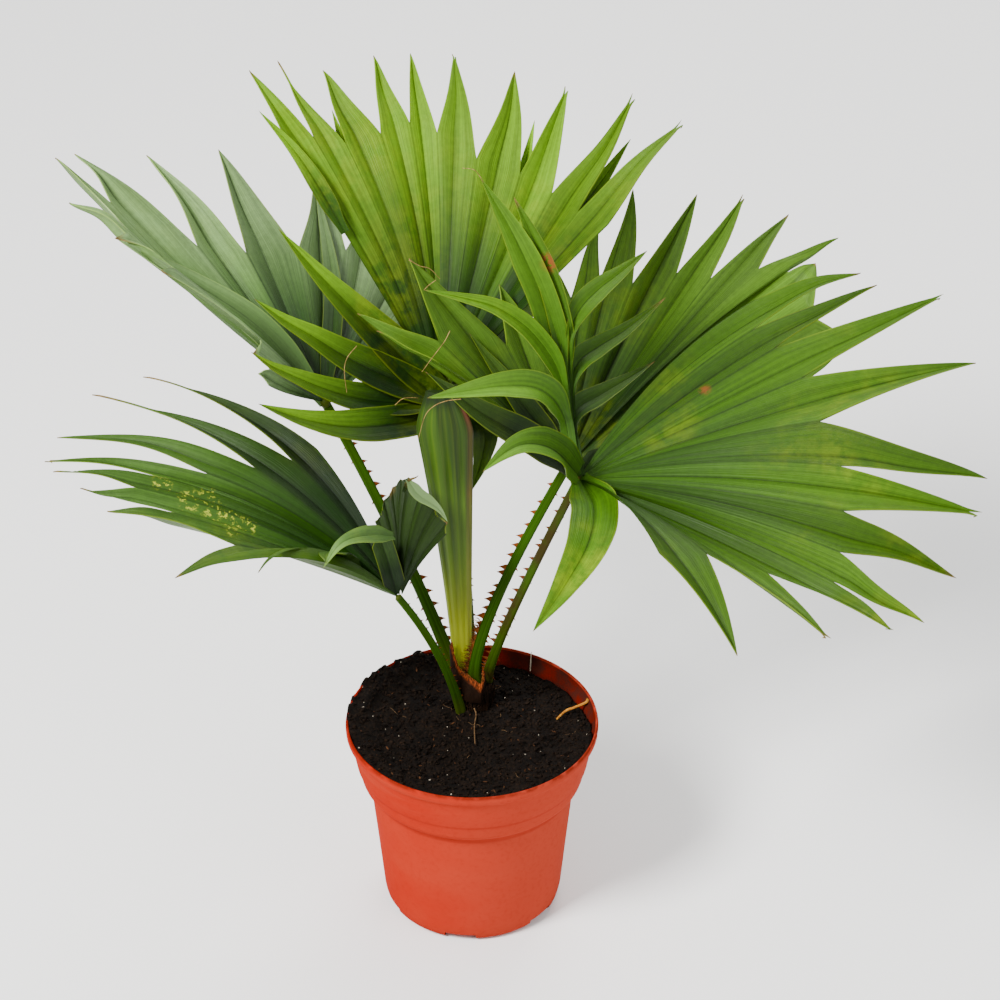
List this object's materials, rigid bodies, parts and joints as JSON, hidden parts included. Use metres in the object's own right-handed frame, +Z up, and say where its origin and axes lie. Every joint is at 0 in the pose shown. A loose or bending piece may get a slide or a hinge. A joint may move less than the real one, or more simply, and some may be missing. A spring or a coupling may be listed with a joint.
{
  "type": "potted footstool palm",
  "caption": "Young fan palm with pleated round leaves on spiny stalks, a folded spear leaf, and a round tapered nursery pot filled with peat.",
  "frame": {"origin": "middle of the pot's flat underside", "axes": "+Z up along the pot's axis, -Y towards the front that the picture shows"},
  "size_m": [0.4587, 0.3629, 0.4215],
  "materials": {
    "pot": "matte terracotta orange",
    "soil": "moist dark peat",
    "crown_base": "fibrous brown sheath",
    "stalk": "satin green with brown spines",
    "blade": "satin pleated leaf",
    "spear": "satin folded young leaf"
  },
  "bodies": {
    "root": {"pot": "pot", "soil": "soil", "crown_base": "crown_base", "leaf_right_front": "blade", "lobe_right_front": "blade", "leaf_right_back": "blade", "leaf_centre": "blade", "leaf_left_back": "blade", "leaf_left_front": "blade", "lobe_left_front": "blade", "stalk_right_front": "stalk", "stalk_right_back": "stalk", "stalk_centre": "stalk", "stalk_left_back": "stalk", "stalk_left_front": "stalk", "spear_leaf": "spear"}
  },
  "joints": []
}
